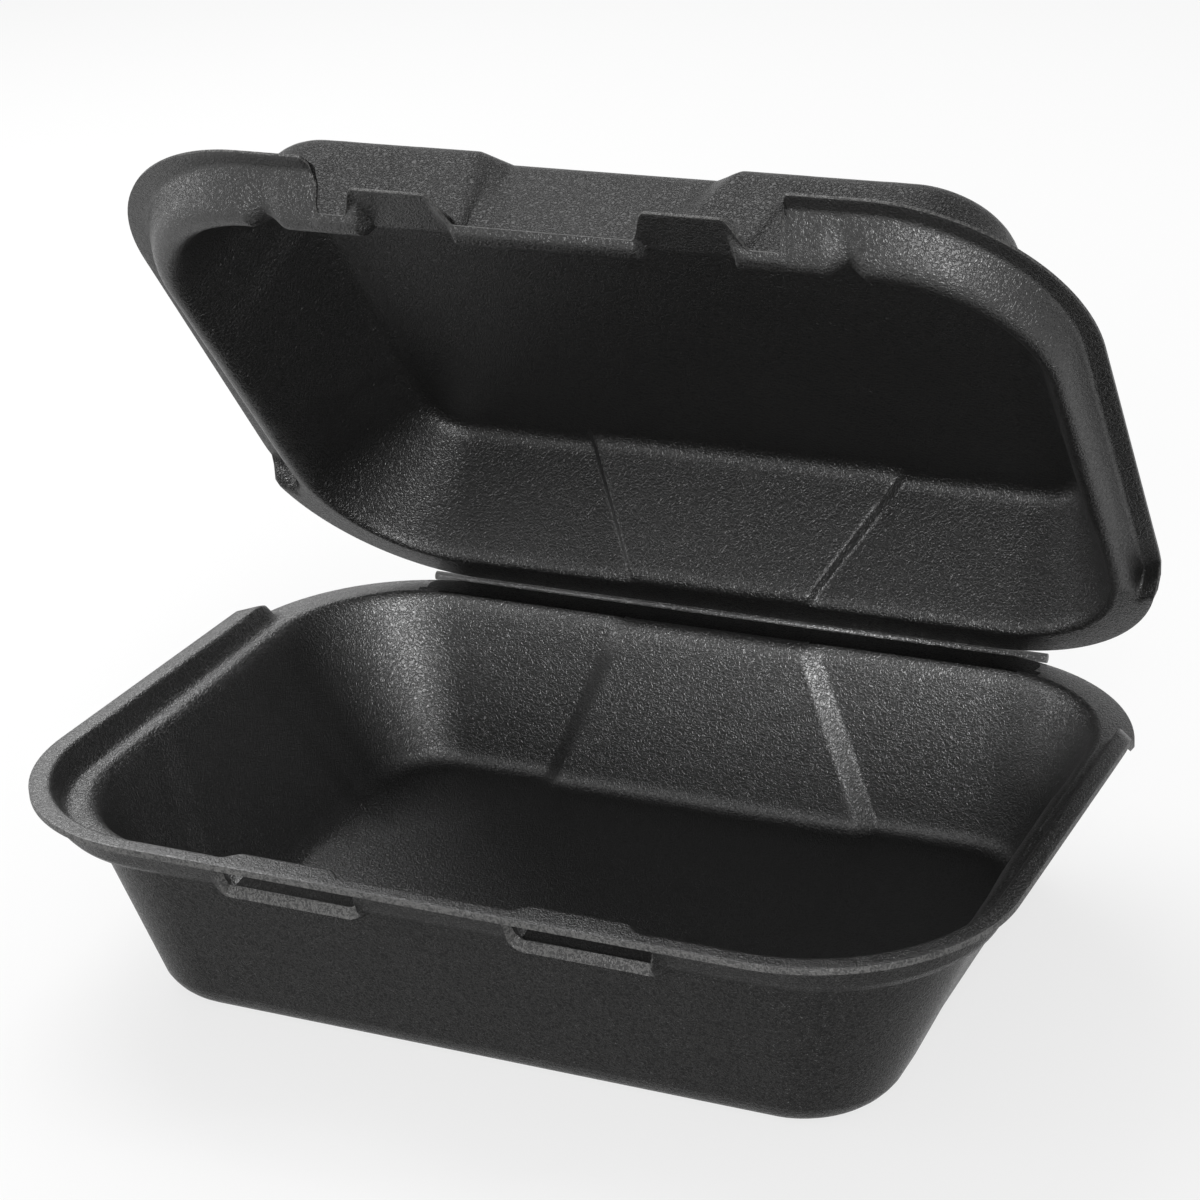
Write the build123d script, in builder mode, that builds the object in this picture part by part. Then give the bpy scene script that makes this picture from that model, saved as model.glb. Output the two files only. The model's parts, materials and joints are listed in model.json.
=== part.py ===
import os
from math import atan2, cos, radians, sin

from build123d import *

os.makedirs("parts", exist_ok=True)

# Driving dimensions, in millimetres and degrees
width = 236.0
depth = 171.0
base_height = 46.5
lid_height = 36.0
sheet = 2.0
lip_sheet = 1.6
open_angle = 54.0
gap = 0.3

# Plan outlines, as half width, distance from the hinge line to back and front, corner radius
lip_edge = 4.4
corner = 44.0
back_corner = 48.0
shelf_half = width / 2 - 11.0
shelf_front = depth - 17.5
shelf_back = 10.0
floor_half = width / 2 - 32.0
floor_front = depth - 26.5
floor_back = 18.5
top_half = width / 2 - 29.0
top_front = depth - 29.5
top_back = 20.5
wall_corner = 33.0
floor_corner = 17.0

# Rim: the lip climbs from the hinge towards the front
lip_back_rise = 3.8
lip_front_rise = 8.0
rail_foot_half = width / 2 - 6.8
rail_foot_front = depth - 11.2
rail_end = 39.0

# Centre panels pushed inwards; each margin runs from the panel to the corner's start
panel_ease = 4.0
back_margin_top = 47.0
back_margin_floor = 23.0
side_margin_top = 18.5
side_margin_floor = 12.0
panel_push_top = 2.0
panel_push_floor = 3.0
recess_half = 25.0
recess_ease = 7.0
recess_push_top = 5.0
recess_push_crest = 1.5
shoulder_drop = 7.5

# Latches
latch_offset = 35.0
slot_length = 30.0
slot_low = 0.9
slot_high = 5.2
slot_corner = 1.6
tab_length = 27.0
tab_slope = 4.5
tab_corner = 2.5
tab_tip = depth - 3.4
tab_low = 2.1
corner_lip_end = 57.0

# Hinge bead
bead_radius = 1.2
hinge_half = 84.0

# The hinge line; the bottom of the base is centred on the origin
hinge_y = (floor_front + floor_back) / 2
hinge_z = base_height
tilt = atan2(lip_front_rise - lip_back_rise, depth)


def frame(angle, rise, slope=0.0):
    """Plane through the hinge line, turned open by angle and raised by rise."""
    turn = radians(angle)
    return Plane(
        origin=(0, hinge_y + rise * sin(turn), hinge_z + rise * cos(turn)),
        x_dir=(1, 0, 0),
        z_dir=(0, sin(turn + slope), cos(turn + slope)),
    )


def corner_mid(x, y, radius, sign_x, sign_y):
    """Middle point of a corner arc, from the corner of its square."""
    cut = radius * (1 - cos(radians(45)))
    return (x - sign_x * cut, y - sign_y * cut)


def plain_outline(half, back, front, r_back, r_front):
    """Rounded outline; back and front are distances from the hinge line."""
    yb = -back
    yf = -front
    with BuildLine() as path:
        Line((half, yf + r_front), (half, yb - r_back))
        ThreePointArc(
            (half, yb - r_back),
            corner_mid(half, yb, r_back, 1, 1),
            (half - r_back, yb),
        )
        Line((half - r_back, yb), (-half + r_back, yb))
        ThreePointArc(
            (-half + r_back, yb),
            corner_mid(-half, yb, r_back, -1, 1),
            (-half, yb - r_back),
        )
        Line((-half, yb - r_back), (-half, yf + r_front))
        ThreePointArc(
            (-half, yf + r_front),
            corner_mid(-half, yf, r_front, -1, -1),
            (-half + r_front, yf),
        )
        Line((-half + r_front, yf), (half - r_front, yf))
        ThreePointArc(
            (half - r_front, yf),
            corner_mid(half, yf, r_front, 1, -1),
            (half, yf + r_front),
        )
    make_face(path.edges())


def panel_outline(half, back, front, radius, wide, side, push, recess):
    """Rounded outline with panels pushed in at the back and sides, and a recess in front."""
    yb = -back
    yf = -front
    ym = (yb + yf) / 2
    foot = recess_half + recess_ease
    with BuildLine() as path:
        Polyline(
            (half, yf + radius),
            (half, ym - side - panel_ease),
            (half - push, ym - side),
            (half - push, ym + side),
            (half, ym + side + panel_ease),
            (half, yb - radius),
        )
        ThreePointArc(
            (half, yb - radius),
            corner_mid(half, yb, radius, 1, 1),
            (half - radius, yb),
        )
        Polyline(
            (half - radius, yb),
            (wide + panel_ease, yb),
            (wide, yb - push),
            (-wide, yb - push),
            (-wide - panel_ease, yb),
            (-half + radius, yb),
        )
        ThreePointArc(
            (-half + radius, yb),
            corner_mid(-half, yb, radius, -1, 1),
            (-half, yb - radius),
        )
        Polyline(
            (-half, yb - radius),
            (-half, ym + side + panel_ease),
            (-half + push, ym + side),
            (-half + push, ym - side),
            (-half, ym - side - panel_ease),
            (-half, yf + radius),
        )
        ThreePointArc(
            (-half, yf + radius),
            corner_mid(-half, yf, radius, -1, -1),
            (-half + radius, yf),
        )
        if recess > 0:
            Polyline(
                (-half + radius, yf),
                (-foot, yf),
                (-recess_half, yf + recess),
                (recess_half, yf + recess),
                (foot, yf),
                (half - radius, yf),
            )
        else:
            Line((-half + radius, yf), (half - radius, yf))
        ThreePointArc(
            (half - radius, yf),
            corner_mid(half, yf, radius, 1, -1),
            (half, yf + radius),
        )
    make_face(path.edges())


def between(low, high, share):
    """Value part of the way from low to high."""
    return low + share * (high - low)


def wall_outline(low, high, share, grow, push_low, recess):
    """Wall outline at share of the way from low to high, grown outwards by grow."""
    half = between(low[0], high[0], share)
    back = between(low[1], high[1], share)
    front = between(low[2], high[2], share)
    radius = between(floor_corner, wall_corner, share)
    side_margin = between(side_margin_floor, side_margin_top, share)
    panel_outline(
        half + grow,
        back - grow,
        front + grow,
        radius + grow,
        half - radius - panel_ease - between(back_margin_floor, back_margin_top, share),
        (front - back) / 2 - radius - panel_ease - side_margin,
        between(push_low, panel_push_top, share),
        recess,
    )


def base_outline(share, grow):
    """Base wall outline; share 0 at the floor and 1 at the shelf."""
    low = (floor_half, floor_back, floor_front)
    high = (shelf_half, shelf_back, shelf_front)
    wall_outline(low, high, share, grow, panel_push_floor, 0.0)


def lid_outline(share, grow):
    """Lid wall outline; share 0 at the top panel and 1 at the crest."""
    low = (top_half, top_back, top_front)
    high = (shelf_half - 0.5, shelf_back + 0.5, shelf_front - 0.5)
    recess = between(recess_push_top, recess_push_crest, share)
    wall_outline(low, high, share, grow, panel_push_floor + 1.0, recess)


# Base: tray, shelf, rail, lip, back flange and the hinge bead, all one moulding
with BuildPart() as base:
    shelf_top = frame(0, -gap / 2)
    lip_top = frame(0, lip_back_rise - gap / 2, tilt)
    # Rail wall and lip, open at the back
    with BuildSketch(shelf_top.offset(-sheet)):
        plain_outline(rail_foot_half + sheet, 5, rail_foot_front + sheet, 40, 38)
    with BuildSketch(lip_top):
        plain_outline(width / 2 - lip_edge + sheet, 4, depth - lip_edge + sheet, 40, 42)
    loft(ruled=True)
    with BuildSketch(lip_top):
        plain_outline(width / 2, 2, depth, back_corner, corner)
    extrude(amount=-lip_sheet)
    with BuildSketch(shelf_top):
        plain_outline(rail_foot_half, 7, rail_foot_front, 38, 36)
    with BuildSketch(lip_top.offset(1)):
        plain_outline(width / 2 - lip_edge + 0.3, 6, depth - lip_edge + 0.6, 38, 40)
    loft(ruled=True, mode=Mode.SUBTRACT)
    # Lip bumps over the latch slots
    with BuildSketch(lip_top):
        bump = depth - lip_edge - 1.2
        with Locations((latch_offset, -bump), (-latch_offset, -bump)):
            Trapezoid(tab_length + 8, 3.6, 45)
    extrude(amount=-lip_sheet)
    # Rail ends near the back corners
    with BuildSketch(Plane.YZ):
        with BuildLine():
            Polyline(
                (hinge_y - rail_end - 7, hinge_z + 12),
                (hinge_y - rail_end - 2 * gap, hinge_z - sheet - 1),
                (hinge_y + 20, hinge_z - sheet - 1),
                (hinge_y + 20, hinge_z + 12),
                close=True,
            )
        make_face()
    extrude(amount=width, both=True, mode=Mode.SUBTRACT)
    # Tray outside, with an eased bottom edge
    with BuildSketch(frame(0, -base_height)):
        base_outline(0.0, sheet - 3.6)
    with BuildSketch(frame(0, 1.2 - base_height)):
        base_outline(0.02, sheet - 1.3)
    with BuildSketch(frame(0, 3.8 - base_height)):
        base_outline(0.06, sheet)
    with BuildSketch(shelf_top):
        base_outline(1.0, sheet)
    loft(ruled=True)
    # Shelf around the tray on a sloping shoulder, and the flange along the hinge
    with BuildSketch(shelf_top):
        plain_outline(rail_foot_half + sheet, 12, rail_foot_front + sheet, 40, 38)
    extrude(amount=-sheet)
    with BuildSketch(frame(0, -shoulder_drop - sheet)):
        plain_outline(shelf_half - 3, shelf_back + 5, shelf_front - 1, 32, 32)
    with BuildSketch(shelf_top.offset(-sheet)):
        plain_outline(rail_foot_half + sheet, 7, rail_foot_front + sheet, 40, 38)
    loft(ruled=True)
    with BuildSketch(shelf_top):
        plain_outline(width / 2, 0.6, depth, back_corner, corner)
        with Locations((0, -(rail_end + depth) / 2 - 1)):
            Rectangle(width + 10, depth - rail_end + 2, mode=Mode.SUBTRACT)
    extrude(amount=-sheet)
    # Hinge bead along the crease
    with BuildSketch(Plane.YZ.offset(-hinge_half)):
        with Locations((hinge_y, hinge_z)):
            Circle(bead_radius)
    extrude(amount=2 * hinge_half)
    # Tray inside
    with BuildSketch(frame(0, sheet - base_height)):
        base_outline(0.0, -2.4)
    with BuildSketch(frame(0, sheet + 2.6 - base_height)):
        base_outline(0.07, 0.0)
    with BuildSketch(shelf_top):
        base_outline(1.0, 0.0)
    loft(ruled=True, mode=Mode.SUBTRACT)
    # Latch slots through the rail wall
    with BuildSketch(Plane.XZ.offset(depth - hinge_y - 12)):
        slot_mid = hinge_z + (slot_low + slot_high) / 2
        with Locations((latch_offset, slot_mid), (-latch_offset, slot_mid)):
            RectangleRounded(slot_length, slot_high - slot_low, slot_corner)
    extrude(amount=24, mode=Mode.SUBTRACT)
base.part.label = "base"
export_step(base.part, "parts/base.step")

# Lid: the same moulding beyond the crease, turned open
with BuildPart() as lid:
    crest = frame(open_angle, gap / 2)
    lip_under = frame(open_angle, lip_back_rise + gap / 2, tilt)
    # Bead slope and lip, open at the back
    with BuildSketch(crest):
        plain_outline(shelf_half + 3.4, 6, rail_foot_front - 2.6, 38, 35)
    with BuildSketch(lip_under.offset(lip_sheet)):
        plain_outline(width / 2 - lip_edge - 0.8, 4, depth - lip_edge - 1.0, 40, 39)
    loft(ruled=True)
    with BuildSketch(lip_under):
        plain_outline(width / 2, 2, depth, back_corner, corner)
    extrude(amount=lip_sheet)
    with BuildSketch(crest.offset(sheet)):
        plain_outline(shelf_half + 2.0, 8, rail_foot_front - 4.4, 36, 33)
    with BuildSketch(lip_under.offset(lip_sheet + 0.5)):
        plain_outline(width / 2 - lip_edge - 2.6, 6, depth - lip_edge - 3.4, 38, 37)
    loft(ruled=True, mode=Mode.SUBTRACT)
    # Front lip trimmed away between the corners
    with BuildSketch(crest.offset(-2)):
        with Locations((0, -depth)):
            Rectangle(2 * corner_lip_end, 2 * (depth - rail_foot_front + 0.8))
    extrude(amount=16, mode=Mode.SUBTRACT)
    # Lip ends near the back corners
    with BuildSketch(frame(open_angle, -3)):
        with Locations((0, -rail_end / 2 + 10)):
            Rectangle(width + 10, rail_end + 20)
    extrude(amount=20, mode=Mode.SUBTRACT)
    # Lid outside, with an eased top edge
    with BuildSketch(crest):
        lid_outline(1.0, sheet)
    with BuildSketch(frame(open_angle, lid_height - 3.8)):
        lid_outline(0.06, sheet)
    with BuildSketch(frame(open_angle, lid_height - 1.2)):
        lid_outline(0.02, sheet - 1.3)
    with BuildSketch(frame(open_angle, lid_height)):
        lid_outline(0.0, sheet - 3.6)
    loft(ruled=True)
    # Crest band around the mouth, and the flange along the hinge
    with BuildSketch(crest):
        plain_outline(shelf_half + 3.4, 12, rail_foot_front - 2.6, 38, 35)
    extrude(amount=sheet)
    with BuildSketch(crest):
        plain_outline(width / 2, bead_radius + 0.05, depth, back_corner, corner)
        with Locations((0, -(rail_end + depth) / 2 - 1)):
            Rectangle(width + 10, depth - rail_end + 2, mode=Mode.SUBTRACT)
    extrude(amount=sheet)
    # Crest set back under the latch tabs, then the tabs
    with BuildSketch(crest.offset(-1)):
        with Locations((latch_offset, -depth), (-latch_offset, -depth)):
            Rectangle(tab_length, 2 * (depth - shelf_front - 1.6))
    extrude(amount=tab_low - gap / 2 + 1, mode=Mode.SUBTRACT)
    with BuildSketch(frame(open_angle, tab_low)):
        for side in (latch_offset, -latch_offset):
            with BuildLine():
                FilletPolyline(
                    (side - tab_length / 2, -shelf_front),
                    (side - tab_length / 2 + tab_slope, -tab_tip),
                    (side + tab_length / 2 - tab_slope, -tab_tip),
                    (side + tab_length / 2, -shelf_front),
                    radius=tab_corner,
                )
                Line((side + tab_length / 2, -shelf_front), (side - tab_length / 2, -shelf_front))
            make_face()
    extrude(amount=sheet)
    # Lid inside
    with BuildSketch(crest):
        lid_outline(1.0, 0.0)
    with BuildSketch(frame(open_angle, lid_height - sheet - 2.6)):
        lid_outline(0.07, 0.0)
    with BuildSketch(frame(open_angle, lid_height - sheet)):
        lid_outline(0.0, -2.4)
    loft(ruled=True, mode=Mode.SUBTRACT)
lid.part.label = "lid"
export_step(lid.part, "parts/lid.step")
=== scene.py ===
import json
from math import copysign, cos, radians, sin
from typing import NamedTuple

import bmesh
import bpy
from mathutils import Matrix, Vector


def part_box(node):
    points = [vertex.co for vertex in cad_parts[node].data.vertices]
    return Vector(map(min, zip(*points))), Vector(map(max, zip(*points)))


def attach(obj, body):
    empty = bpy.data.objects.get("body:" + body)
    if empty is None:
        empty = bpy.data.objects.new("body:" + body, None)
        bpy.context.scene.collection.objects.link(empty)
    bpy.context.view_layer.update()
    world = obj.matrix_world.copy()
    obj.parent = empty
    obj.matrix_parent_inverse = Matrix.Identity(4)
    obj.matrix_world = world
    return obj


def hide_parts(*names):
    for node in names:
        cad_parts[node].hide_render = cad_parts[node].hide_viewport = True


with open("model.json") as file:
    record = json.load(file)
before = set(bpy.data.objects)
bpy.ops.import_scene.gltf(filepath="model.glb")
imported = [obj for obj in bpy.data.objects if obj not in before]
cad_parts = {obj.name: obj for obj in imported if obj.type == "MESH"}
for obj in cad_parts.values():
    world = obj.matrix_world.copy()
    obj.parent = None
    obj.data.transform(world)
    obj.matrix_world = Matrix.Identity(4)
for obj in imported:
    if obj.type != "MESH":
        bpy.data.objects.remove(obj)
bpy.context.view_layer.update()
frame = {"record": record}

# Sizes taken from the frame, in millimetres and degrees
MM = 0.001
hinge = frame["record"]["behaviour"]["joints"][0]
hinge_y = hinge["pos_m"][1] / MM
hinge_z = hinge["pos_m"][2] / MM
open_angle = -hinge["range_deg"][0]
base_low, base_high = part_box("base")
half_width = base_high[0] / MM
depth = hinge_y - base_low[1] / MM
base_height = hinge_z

# Foam sheet, in millimetres
sheet = 2.0
thickest = 5.0
edge_round = 0.25
edge_inset = 0.1
mating_gap = 0.3
lid_height = 36.0
lip_back_rise = 3.8
lip_front_rise = 8.0
rail_end = 39.0
rail_ramp = 6.0
ramp_play = 0.8

# Panels pushed into the walls: length of a step, then half lengths at the rim and deep down
panel_ease = 4.4
lid_ease = 1.4
side_ease = 7.0
recess_ease = 7.0
back_rim = 23.0
back_deep = 42.0
side_rim = 16.0
side_deep = 30.0
side_core = 10.0
recess_rim = 18.0
recess_deep = 26.0

# Latch slots and the lip's bump over each
latch_offset = 35.0
slot_half_top = 18.0
slot_half_low = 15.0
slot_reach = 1.4
slot_drop = 2.1
slot_ease = 4.0
lip_bump = 3.0
lip_bump_half = 10.5
lip_bump_ease = 4.5

# Latch tabs and the lid's trimmed front
tab_half = 13.5
tab_slope = 4.5
tab_tip = depth - 3.4
tab_flat = 4.5
tab_rise = 3.0
crest_inset = 1.5
crest_ease = 2.0
trim_edge = depth - 11.6
trim_bend = 0.95
corner_cut_low = 55.5
corner_cut_high = 58.5
corner_curl = 2.0
notch_place = 70.0
notch_half = 4.5
notch_rise = 4.0
notch_spread = 0.5

# Hinge crease and its bead, and the reach from the hinge line of the painted shade on the base's flange
bead_radius = 1.2
bead_half = 84.0
flange_shade_depth = 9.0

# Columns of half an outline: panel, step and plain wall, and a corner
front_columns = (22, 10, 68)
side_columns = (24, 6, 16)
back_columns = (30, 6, 40)
corner_columns = 30
last_front_column = sum(front_columns)

# Limits for the mesh: share of a straight that a bend may take, merging distances in millimetres,
# and the turn in degrees from which an edge is rounded
bend_share = 0.48
shortest = 1e-6
seam_gap = 0.01
double_gap = 0.002
sharp_turn = 55

# Place of the painted shade finish in the base's materials: a darker, less glossy copy of the inside foam
# where shade falls
shade_paint_index = 3


class Ring(NamedTuple):
    """A rounded outline of the sheet with its pushed-in panels; back and front from the hinge line."""

    half: float
    back: float
    front: float
    back_corner: float
    front_corner: float
    foam: float
    back_panel: float = back_rim
    side_panel: float = side_rim
    recess: float = recess_rim
    back_push: float = 0.0
    side_push: float = 0.0
    recess_push: float = 0.0
    back_ease: float = panel_ease


class Profile(NamedTuple):
    """Bend radii along a profile, with the rows on each straight and on each bend."""

    radii: tuple
    straights: tuple
    bends: tuple


def between(low, high, share):
    """Value part of the way from low to high."""
    return low + share * (high - low)


def eased(value, low, high):
    """Smooth step that is 0 at low and 1 at high."""
    share = min(max((value - low) / (high - low), 0.0), 1.0)
    return share * share * (3 - 2 * share)


def window(place, half, ease):
    """1 inside half, falling smoothly to 0 over ease beyond it."""
    return 1.0 - eased(abs(place), half, half + ease)


def inset(ring, by, back_corner, front_corner):
    """A ring drawn in by a distance all round, with its own corners."""
    return ring._replace(
        half=ring.half - by,
        back=ring.back + by,
        front=ring.front - by,
        back_corner=back_corner,
        front_corner=front_corner,
    )


# Rings of the base from the lip's edge down to the floor
base_lip = Ring(
    half=half_width - edge_inset, back=0.7, front=depth - edge_inset,
    back_corner=48.0, front_corner=44.0, foam=1.5,
)
rail_top = Ring(
    half=half_width - 4.4, back=3.0, front=depth - 4.4,
    back_corner=40.0, front_corner=41.0, foam=1.6,
)
rail_foot = Ring(
    half=half_width - 6.8, back=6.0, front=depth - 8.8,
    back_corner=38.0, front_corner=36.0, foam=2.6,
)
shelf = Ring(
    half=half_width - 11.0, back=10.0, front=depth - 17.5,
    back_corner=33.0, front_corner=33.0, foam=4.2,
    back_push=1.8, side_push=0.5,
)
base_floor = Ring(
    half=half_width - 31.5, back=18.5, front=depth - 26.0,
    back_corner=17.0, front_corner=17.0, foam=sheet,
    back_panel=back_deep, side_panel=side_deep,
    back_push=2.8, side_push=0.9,
)
base_flat = inset(base_floor, 8.0, back_corner=12.0, front_corner=12.0)
base_middle = Ring(
    half=half_width - 60.0, back=50.0, front=depth - 58.0,
    back_corner=8.0, front_corner=8.0, foam=sheet,
    back_panel=back_deep, side_panel=side_core,
)
base_rings = (base_lip, rail_top, rail_foot, shelf, base_floor, base_flat, base_middle)
side_middle = (shelf.back + shelf.front) / 2

# Rings of the lid from the lip's edge up to the top panel
lid_lip = Ring(
    half=half_width - edge_inset, back=1.4, front=depth - edge_inset,
    back_corner=48.0, front_corner=44.0, foam=0.7,
)
lid_slope = Ring(
    half=half_width - 4.8, back=3.4, front=depth - 4.8,
    back_corner=40.0, front_corner=40.0, foam=1.3,
)
crest_outer = Ring(
    half=half_width - 7.6, back=6.6, front=depth - 13.2,
    back_corner=38.0, front_corner=35.0, foam=2.0,
)
crest_inner = Ring(
    half=half_width - 11.5, back=10.5, front=depth - 18.0,
    back_corner=33.0, front_corner=33.0, foam=2.0,
    back_push=1.6, side_push=0.4, back_ease=lid_ease,
)
lid_top = Ring(
    half=half_width - 29.0, back=20.5, front=depth - 29.5,
    back_corner=12.0, front_corner=17.0, foam=sheet,
    back_panel=back_deep, side_panel=side_deep, recess=recess_deep,
    back_push=2.6, side_push=0.9, recess_push=4.5, back_ease=lid_ease,
)
lid_flat = inset(lid_top, 9.0, back_corner=8.0, front_corner=11.0)
lid_middle = Ring(
    half=half_width - 60.0, back=50.0, front=depth - 60.0,
    back_corner=8.0, front_corner=8.0, foam=sheet,
    back_panel=back_deep, side_panel=side_core, recess=recess_deep,
)
lid_rings = (lid_lip, lid_slope, crest_outer, crest_inner, lid_top, lid_flat, lid_middle)

# Profiles of the two halves, across the rings
base_profile = Profile(
    radii=(1.2, 2.4, 5.0, 4.5, 1.0),
    straights=(2, 4, 1, 12, 1, 1),
    bends=(6, 5, 6, 8, 2),
)
lid_profile = Profile(
    radii=(0.9, 4.0, 4.0, 4.0, 1.0),
    straights=(2, 4, 1, 12, 1, 1),
    bends=(6, 7, 7, 8, 2),
)

# Rows of the base's profile that the latch slots open, and the last row behind them
slot_top = base_profile.straights[0] + base_profile.bends[0]
slot_low = slot_top + base_profile.straights[1] + 1 + base_profile.bends[1] // 2
slot_behind = slot_low + base_profile.bends[1]


def panel_run(half, ease, end, counts):
    """Places from a panel's middle past its step to end, with the share of the push at each."""
    panel, step, plain = counts
    run = [(half * index / panel, 1.0) for index in range(panel)]
    for index in range(step):
        share = index / step
        run.append((half + ease * share, 1.0 - share))
    for index in range(plain):
        run.append((between(half + ease, end, index / plain), 0.0))
    return run


def corner_turns():
    """Angles along a rounded corner."""
    return [radians(90 * index / corner_columns) for index in range(corner_columns)]


def ring_places(ring):
    """Points (x, v) of half a ring, from the middle of the front round to the middle of the back."""
    places = []
    front_end = ring.half - ring.front_corner
    for x, share in panel_run(ring.recess, recess_ease, front_end, front_columns):
        places.append(Vector((x, ring.front - ring.recess_push * share, 0.0)))
    front_centre = ring.front - ring.front_corner
    for turn in corner_turns():
        x = front_end + ring.front_corner * sin(turn)
        places.append(Vector((x, front_centre + ring.front_corner * cos(turn), 0.0)))
    back_centre = ring.back + ring.back_corner
    ahead = panel_run(ring.side_panel, side_ease, front_centre - side_middle, side_columns)
    for offset, share in [(front_centre - side_middle, 0.0)] + ahead[:0:-1]:
        places.append(Vector((ring.half - ring.side_push * share, side_middle + offset, 0.0)))
    behind = panel_run(ring.side_panel, side_ease, side_middle - back_centre, side_columns)
    for offset, share in behind:
        places.append(Vector((ring.half - ring.side_push * share, side_middle - offset, 0.0)))
    back_end = ring.half - ring.back_corner
    for turn in corner_turns():
        x = back_end + ring.back_corner * cos(turn)
        places.append(Vector((x, back_centre - ring.back_corner * sin(turn), 0.0)))
    rear = panel_run(ring.back_panel, ring.back_ease, back_end, back_columns)
    for x, share in [(back_end, 0.0)] + rear[::-1]:
        places.append(Vector((x, ring.back + ring.back_push * share, 0.0)))
    return places


def rounded_profile(corners, profile):
    """Points along a chain of corners whose inner corners are rounded."""
    radii, straights, bends = profile
    points = [corners[0]]
    start = corners[0]
    for index, radius in enumerate(radii):
        corner = corners[index + 1]
        before = corners[index] - corner
        after = corners[index + 2] - corner
        enter = corner + before * min(radius / max(before.length, shortest), bend_share)
        leave = corner + after * min(radius / max(after.length, shortest), bend_share)
        for step in range(1, straights[index] + 1):
            points.append(start.lerp(enter, step / (straights[index] + 1)))
        for step in range(bends[index]):
            share = step / (bends[index] - 1)
            points.append(enter.lerp(corner, share).lerp(corner.lerp(leave, share), share))
        start = leave
    for step in range(1, straights[-1] + 1):
        points.append(start.lerp(corners[-1], step / (straights[-1] + 1)))
    points.append(corners[-1])
    return points


def foam_rows(rings, profile):
    """Share of the greatest thickness at every row, blended over evenly spaced rings."""
    spacing = 20.0
    blend = 9.0
    corners = [Vector((spacing * index, ring.foam, 0.0)) for index, ring in enumerate(rings)]
    even = profile._replace(radii=[blend] * len(profile.radii))
    return [point.y / thickest for point in rounded_profile(corners, even)]


def lip_height(v):
    """Height of the lip over the hinge plane; flat behind the rail ends."""
    rise = between(lip_back_rise, lip_front_rise, v / depth)
    return rise * eased(v, rail_end, rail_end + rail_ramp)


def at_front(corners):
    """Whether a column starts on the straight front of the lip."""
    return corners[0].y > depth - 2 * edge_inset


def base_corners(corners):
    """Heights of one column of the base, the lip's bump and the sunk rail foot at each latch slot."""
    for corner in corners[:2]:
        corner.z = lip_height(corners[0].y) - mating_gap / 2
    for corner in corners[2:4]:
        corner.z = -mating_gap / 2
    for corner in corners[4:]:
        corner.z = sheet - base_height
    if at_front(corners):
        beside = corners[1].x - latch_offset
        corners[1].y -= lip_bump * window(beside, lip_bump_half, lip_bump_ease)
        sunk = window(beside, slot_half_top - slot_ease, slot_ease)
        corners[2].y += slot_reach * sunk
        corners[2].z -= slot_drop * sunk


def lid_corners(corners):
    """Heights of one column of the lid, then its trimmed front."""
    for corner in corners[:2]:
        corner.z = lip_height(corners[0].y + ramp_play) + mating_gap / 2
    for corner in corners[2:4]:
        corner.z = mating_gap / 2
    for corner in corners[4:]:
        corner.z = lid_height - sheet
    if at_front(corners):
        trim_front(corners)


def trim_front(corners):
    """Notches the lid's crest, cuts its front lip away between the corners and leaves the latch tabs."""
    crest = corners[2]
    x = crest.x
    notch = notch_rise * max(0.0, 1.0 - abs(x - notch_place) / notch_half)
    corners[2].z += notch * notch_spread
    corners[3].z += notch
    cut = eased(x, corner_cut_low, corner_cut_high)
    slope = corners[1] - crest
    flat = corners[0] - corners[1]
    low = (trim_edge - crest.y) / slope.y
    reach = between(low, 1.0 + flat.length / slope.length, cut)
    if reach < 1.0:
        corners[0] = crest + slope * reach
        corners[1] = crest + slope * reach * trim_bend
    else:
        corners[0] = corners[1] + flat * (reach - 1.0) * slope.length / flat.length
    for corner in corners[:2]:
        corner.z += corner_curl * cut * (1.0 - cut)
    beside = x - latch_offset
    tab = window(beside, tab_half - tab_slope, tab_slope)
    corners[0] = corners[0].lerp(Vector((corners[0].x, tab_tip, tab_rise)), tab)
    corners[1] = corners[1].lerp(Vector((corners[1].x, tab_tip - tab_flat, tab_rise)), tab)
    raised = window(beside + crest_inset, tab_half - crest_inset - crest_ease, crest_ease)
    for corner in corners[2:4]:
        corner.z = between(corner.z, tab_rise, raised)


def half_sheet(rings, profile, shape):
    """Grid of one half of a sheet, in sheet coordinates, with each vertex's column and row."""
    columns = []
    for column in zip(*[ring_places(ring) for ring in rings]):
        corners = [corner.copy() for corner in column]
        shape(corners)
        columns.append(rounded_profile(corners, profile))
    foam = foam_rows(rings, profile)
    last_column = len(columns) - 1
    last_row = len(foam) - 1
    mesh = bmesh.new()
    bmesh.ops.create_grid(mesh, x_segments=last_column, y_segments=last_row, size=1.0)
    weights = mesh.verts.layers.deform.verify()
    place = {}
    for vert in mesh.verts:
        column = round((vert.co.x + 1) / 2 * last_column)
        row = round((vert.co.y + 1) / 2 * last_row)
        place[vert] = (column, row)
        vert.co = columns[column][row]
        vert[weights][0] = foam[row]
    return mesh, place


def grid_span(face, place):
    """Last column, first row and last row of a face in the half sheet's grid."""
    columns = [place[vert][0] for vert in face.verts]
    rows = [place[vert][1] for vert in face.verts]
    return max(columns), min(rows), max(rows)


def slot_half(row):
    """Half width of a latch slot at a row of the base's profile."""
    return between(slot_half_top, slot_half_low, (row - slot_top) / (slot_low - slot_top))


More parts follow.
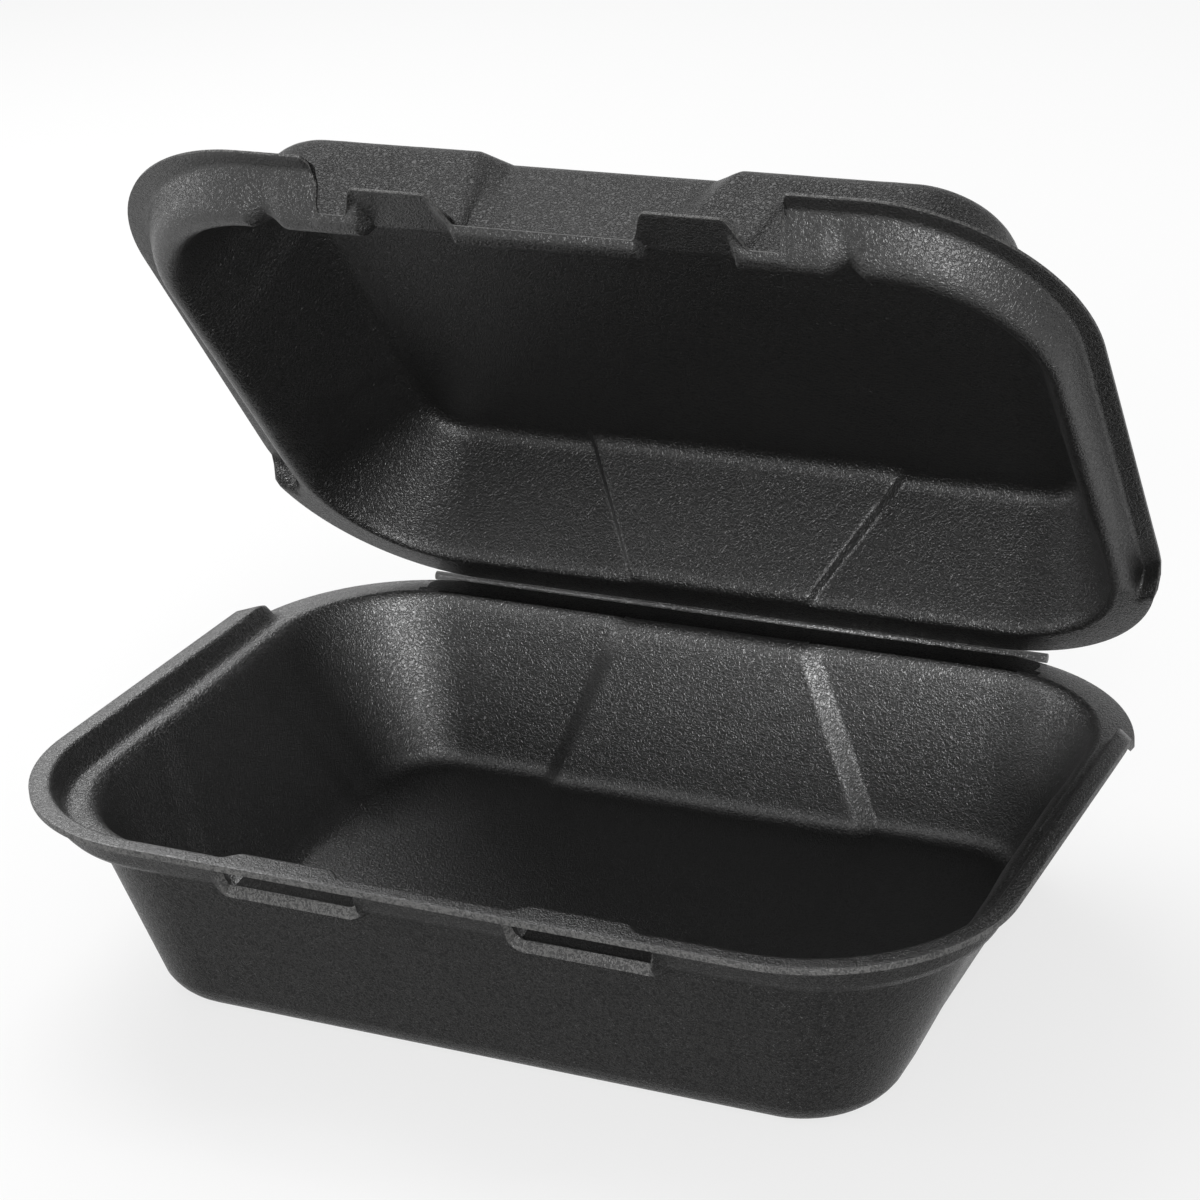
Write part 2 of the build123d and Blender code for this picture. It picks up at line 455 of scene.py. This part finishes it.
def cut_slot(mesh, place):
    """Opens the latch slot in the rail wall of a half sheet and rounds its corners."""
    doomed = []
    for face in mesh.faces:
        column, first, last = grid_span(face, place)
        if column > last_front_column or first < slot_top or last > slot_low:
            continue
        if abs(face.calc_center_median().x - latch_offset) < slot_half(first):
            doomed.append(face)
    bmesh.ops.delete(mesh, geom=doomed, context="FACES")
    rim = []
    for vert in mesh.verts:
        column, row = place[vert]
        if vert.is_boundary and slot_top <= row <= slot_low and 0 < column <= last_front_column:
            rim.append(vert)
            if slot_top < row < slot_low:
                vert.co.x = latch_offset + copysign(slot_half(row), vert.co.x - latch_offset)
    bmesh.ops.smooth_vert(
        mesh, verts=rim, factor=0.5, use_axis_x=True, use_axis_y=True, use_axis_z=True
    )


def paint_slot_and_flange_shade(mesh, place):
    """Paints shade on the foam behind the latch slot and on the flange at the hinge: a darker, less glossy
    finish where shade falls.
    """
    for face in mesh.faces:
        column, first, last = grid_span(face, place)
        centre = face.calc_center_median()
        behind = column <= last_front_column and slot_low < first and last <= slot_behind
        in_slot_shade = behind and abs(centre.x - latch_offset) < slot_half_low
        in_flange_shade = centre.x < bead_half and centre.y < flange_shade_depth
        if in_slot_shade or in_flange_shade:
            face.material_index = shade_paint_index


def placed(point, angle):
    """World place of a sheet point (x, v, n) on a half turned open by angle."""
    turn = radians(angle)
    y = hinge_y - point.y * cos(turn) + point.z * sin(turn)
    z = hinge_z + point.y * sin(turn) + point.z * cos(turn)
    return Vector((point.x, y, z)) * MM


def finish_sheet(mesh, angle, up):
    """Mirrors a half sheet, closes its flat middle, puts it in place and turns its inside to up."""
    bmesh.ops.mirror(
        mesh,
        geom=mesh.verts[:] + mesh.edges[:] + mesh.faces[:],
        axis="X",
        merge_dist=seam_gap,
    )
    bmesh.ops.remove_doubles(mesh, verts=mesh.verts[:], dist=double_gap)
    deep = max(abs(vert.co.z) for vert in mesh.verts)
    ring = [
        edge
        for edge in mesh.edges
        if edge.is_boundary and all(abs(abs(vert.co.z) - deep) < seam_gap for vert in edge.verts)
    ]
    bmesh.ops.holes_fill(mesh, edges=ring, sides=0)
    for vert in mesh.verts:
        vert.co = placed(vert.co, angle)
    bmesh.ops.recalc_face_normals(mesh, faces=mesh.faces[:])
    facing = Vector((0.0, sin(radians(angle)), cos(radians(angle)))) * up
    if sum(face.normal.dot(facing) * face.calc_area() for face in mesh.faces) < 0:
        bmesh.ops.reverse_faces(mesh, faces=mesh.faces[:])


def add_object(name, mesh, materials):
    """Object of a finished mesh, smooth shaded, with its materials."""
    data = bpy.data.meshes.new(name)
    mesh.normal_update()
    mesh.to_mesh(data)
    mesh.free()
    data.shade_smooth()
    for material in materials:
        data.materials.append(material)
    piece = bpy.data.objects.new(name, data)
    bpy.context.scene.collection.objects.link(piece)
    return piece


def thicken(piece):
    """Gives a sheet its foam thickness: the outside in the next material, the trimmed edge one further."""
    solid = piece.modifiers.new("foam_thickness", "SOLIDIFY")
    solid.thickness = thickest * MM
    solid.vertex_group = piece.vertex_groups.new(name="foam_thickness").name
    solid.offset = -1.0
    solid.use_rim = True
    solid.material_offset = 1
    solid.material_offset_rim = 2
    edge = piece.modifiers.new("trimmed_edge", "BEVEL")
    edge.width = edge_round * MM
    edge.segments = 2
    edge.limit_method = "ANGLE"
    edge.angle_limit = radians(sharp_turn)


class Value:
    """A number socket; arithmetic on it adds Math nodes."""

    def __init__(self, finish, socket):
        self.finish = finish
        self.socket = socket

    def math(self, operation, *terms):
        node = self.finish.node("ShaderNodeMath", {"operation": operation}, dict(enumerate(terms)))
        return Value(self.finish, node.outputs[0])

    def __add__(self, other):
        return self.math("ADD", self, other)

    __radd__ = __add__

    def __sub__(self, other):
        return self.math("SUBTRACT", self, other)

    def __rsub__(self, other):
        return self.math("SUBTRACT", other, self)

    def __mul__(self, other):
        return self.math("MULTIPLY", self, other)

    __rmul__ = __mul__

    def __abs__(self):
        return self.math("ABSOLUTE", self)

    def clamped(self, low, high):
        return self.math("MINIMUM", self.math("MAXIMUM", self, low), high)


class Finish:
    """Nodes of a material or of the world, under construction."""

    def __init__(self, owner):
        owner.use_nodes = True
        self.owner = owner
        self.tree = owner.node_tree
        self.tree.nodes.clear()

    def feed(self, socket, value):
        """Links a value or a socket to a socket, or sets a constant on it."""
        if isinstance(value, Value):
            self.tree.links.new(value.socket, socket)
        elif isinstance(value, bpy.types.NodeSocket):
            self.tree.links.new(value, socket)
        else:
            socket.default_value = value

    def node(self, kind, settings=None, inputs=None):
        """A node of a kind, with its settings and what its sockets take."""
        node = self.tree.nodes.new(kind)
        for key, value in (settings or {}).items():
            setattr(node, key, value)
        for key, value in (inputs or {}).items():
            self.feed(node.inputs[key], value)
        return node

    def noise(self, scale, detail, distortion=0.0):
        """Noise on Object coordinates, its scale per metre."""
        place = self.node("ShaderNodeTexCoord").outputs["Object"]
        node = self.node(
            "ShaderNodeTexNoise",
            None,
            {"Vector": place, "Scale": scale, "Detail": detail, "Distortion": distortion},
        )
        return Value(self, node.outputs[0])

    def mix_colour(self, factor, first, second):
        """Colour between first and second."""
        node = self.node("ShaderNodeMix", {"data_type": "RGBA"}, {0: factor, 6: first, 7: second})
        return node.outputs[2]

    def seen(self):
        """1 on rays from the camera and on reflected and transmitted rays, 0 on the light's own."""
        path = self.node("ShaderNodeLightPath")
        straight = Value(self, path.outputs["Is Camera Ray"])
        mirrored = Value(self, path.outputs["Is Glossy Ray"])
        through = Value(self, path.outputs["Is Transmission Ray"])
        return (straight + mirrored + through).clamped(0.0, 1.0)


# Grain of the fused skin: fine ridges, soft clouds, and the play that they give the roughness
worm_scale = 1250.0
worm_bend = 0.6
worm_narrow = 7.0
cloud_scale = 60.0
cloud_share = 0.5
rough_play = 0.12
skin_ior = 1.6


def foam_finish(name, dark, pale, rough, shine, grain):
    """Black foam sheet: a fused skin with fine worm-like ridges, smoother and paler than the rest."""
    finish = Finish(bpy.data.materials.new(name))
    worm = abs(finish.noise(worm_scale, 1.0, worm_bend) - 0.5)
    ridge = (1.0 - worm * worm_narrow).clamped(0.0, 1.0)
    cloud = finish.noise(cloud_scale, 3.0)
    speckle = (ridge + (cloud - 0.5) * cloud_share).clamped(0.0, 1.0)
    bump = finish.node(
        "ShaderNodeBump",
        None,
        {"Strength": 1.0, "Distance": grain * MM, "Height": ridge},
    )
    shader = finish.node(
        "ShaderNodeBsdfPrincipled",
        None,
        {
            "Base Color": finish.mix_colour(speckle, dark, pale),
            "Roughness": rough + (0.5 - speckle) * rough_play,
            "IOR": skin_ior,
            "Specular IOR Level": shine,
            "Normal": bump.outputs["Normal"],
        },
    )
    finish.node("ShaderNodeOutputMaterial", None, {"Surface": shader.outputs[0]})
    return finish.owner


# Finishes of the foam; grain is the height of the ridges in millimetres
black = (0.0015, 0.0015, 0.0015, 1)
charcoal = (0.008, 0.0078, 0.0075, 1)
soot = (0.007, 0.0068, 0.0065, 1)
trim_dark = (0.016, 0.016, 0.016, 1)
trim_pale = (0.075, 0.074, 0.072, 1)
# Painted light: the base's inside and the lid's inside are one foam, given more shine in the base as a
# painted highlight and less in the lid as painted shade
base_inside = foam_finish("base_inside", black, charcoal, rough=0.37, shine=0.96, grain=0.07)
lid_inside = foam_finish("lid_inside", black, charcoal, rough=0.36, shine=0.50, grain=0.07)
outside = foam_finish("foam_outside", black, soot, rough=0.31, shine=0.135, grain=0.18)
trimmed = foam_finish("trimmed_foam", trim_dark, trim_pale, rough=0.48, shine=0.375, grain=0.10)
# Painted shade: the inside foam made darker and less glossy, for the places behind the latch slots and on
# the hinge flange where shade falls
painted_shade = foam_finish("shade_painted_foam", black, charcoal, rough=0.5, shine=0.085, grain=0.07)

# Base sheet; the painted shade finish has its own outside after it
base_mesh, base_place = half_sheet(base_rings, base_profile, base_corners)
cut_slot(base_mesh, base_place)
paint_slot_and_flange_shade(base_mesh, base_place)
finish_sheet(base_mesh, 0.0, 1.0)
base_sheet = add_object("base_sheet", base_mesh, (base_inside, outside, trimmed, painted_shade, outside))
thicken(base_sheet)
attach(base_sheet, "base")
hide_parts("base")

# Lid sheet
lid_mesh, _ = half_sheet(lid_rings, lid_profile, lid_corners)
finish_sheet(lid_mesh, open_angle, -1.0)
lid_sheet = add_object("lid_sheet", lid_mesh, (lid_inside, outside, trimmed))
thicken(lid_sheet)
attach(lid_sheet, "lid")
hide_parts("lid")

# Hinge bead along the crease
bead_mesh = bmesh.new()
at_crease = Matrix.Translation((0, hinge_y * MM, hinge_z * MM))
bmesh.ops.create_cone(
    bead_mesh,
    cap_ends=True,
    segments=20,
    radius1=bead_radius * MM,
    radius2=bead_radius * MM,
    depth=2 * bead_half * MM,
    matrix=at_crease @ Matrix.Rotation(radians(90), 4, "Y"),
)
bead = add_object("hinge_bead", bead_mesh, (base_inside,))
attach(bead, "base")

# Floor: pale where it passes light on, nearly white to the camera and in reflections
floor_half = 4.0
floor_pale = (0.92, 0.92, 0.92, 1)
floor_white = (1, 1, 1, 1)
white_share = 0.7
floor_mesh = bmesh.new()
bmesh.ops.create_grid(floor_mesh, x_segments=1, y_segments=1, size=floor_half)
floor_finish = Finish(bpy.data.materials.new("pale_floor"))
matt = floor_finish.node("ShaderNodeBsdfDiffuse", None, {"Color": floor_pale})
white = floor_finish.node("ShaderNodeEmission", None, {"Color": floor_white, "Strength": 1.0})
blend = floor_finish.node(
    "ShaderNodeMixShader",
    None,
    {0: floor_finish.seen() * white_share, 1: matt.outputs[0], 2: white.outputs[0]},
)
floor_finish.node("ShaderNodeOutputMaterial", None, {"Surface": blend.outputs[0]})
floor = add_object("floor", floor_mesh, (floor_finish.owner,))

# World: white to the camera and in reflections, a softer fill as light
fill_level = 0.45
studio = Finish(bpy.data.worlds.new("studio"))
sky_level = fill_level + studio.seen() * (1.0 - fill_level)
sky = studio.node("ShaderNodeBackground", None, {"Strength": sky_level})
studio.node("ShaderNodeOutputWorld", None, {"Surface": sky.outputs[0]})
bpy.context.scene.world = studio.owner


def soft_light(name, place, size, power):
    """Rectangular area lamp at place, pointed at the container; metres and watts."""
    lamp = bpy.data.lights.new(name, "AREA")
    lamp.shape = "RECTANGLE"
    lamp.size = size[0]
    lamp.size_y = size[1]
    lamp.energy = power
    holder = bpy.data.objects.new(name, lamp)
    holder.location = place
    holder.rotation_euler = (light_aim - Vector(place)).to_track_quat("-Z", "Y").to_euler()
    bpy.context.scene.collection.objects.link(holder)


light_aim = Vector((0.0, 0.0, 0.06))
soft_light("top_light", place=(-0.45, 0.5, 1.0), size=(0.9, 0.7), power=9.5)
soft_light("front_light", place=(0.40, -1.05, 0.31), size=(0.32, 0.32), power=11)
soft_light("left_light", place=(-1.05, -0.36, 0.15), size=(0.5, 0.12), power=2.4)

# Camera at the photograph's angle: degrees, millimetres, and pixels of the photograph's frame
camera_turn = radians(26.44)
camera_rise = radians(23.95)
camera_roll = radians(-3.60)
camera_distance = 728.18
camera_aim = Vector((-0.63, 1.23, 84.6))
camera_focal = 3176.6
frame_side = 1200.0
frame_middle = (585.7, 601.4)

level = cos(camera_rise)
away = Vector((sin(camera_turn) * level, -cos(camera_turn) * level, sin(camera_rise)))
across = Vector((cos(camera_turn), sin(camera_turn), 0.0))
upward = away.cross(across)
right = across * cos(camera_roll) + upward * sin(camera_roll)
top = upward * cos(camera_roll) - across * sin(camera_roll)
lens = bpy.data.cameras.new("camera")
lens.sensor_width = 36.0
lens.sensor_fit = "HORIZONTAL"
lens.lens = lens.sensor_width * camera_focal / frame_side
lens.shift_x = (frame_side / 2 - frame_middle[0]) / frame_side
lens.shift_y = (frame_middle[1] - frame_side / 2) / frame_side
lens.clip_start = 0.05
camera = bpy.data.objects.new("camera", lens)
turned = Matrix((right, top, away)).transposed().to_4x4()
camera.matrix_world = Matrix.Translation((camera_aim + away * camera_distance) * MM) @ turned
bpy.context.scene.collection.objects.link(camera)
bpy.context.scene.camera = camera

bpy.context.scene.view_settings.view_transform = "Standard"
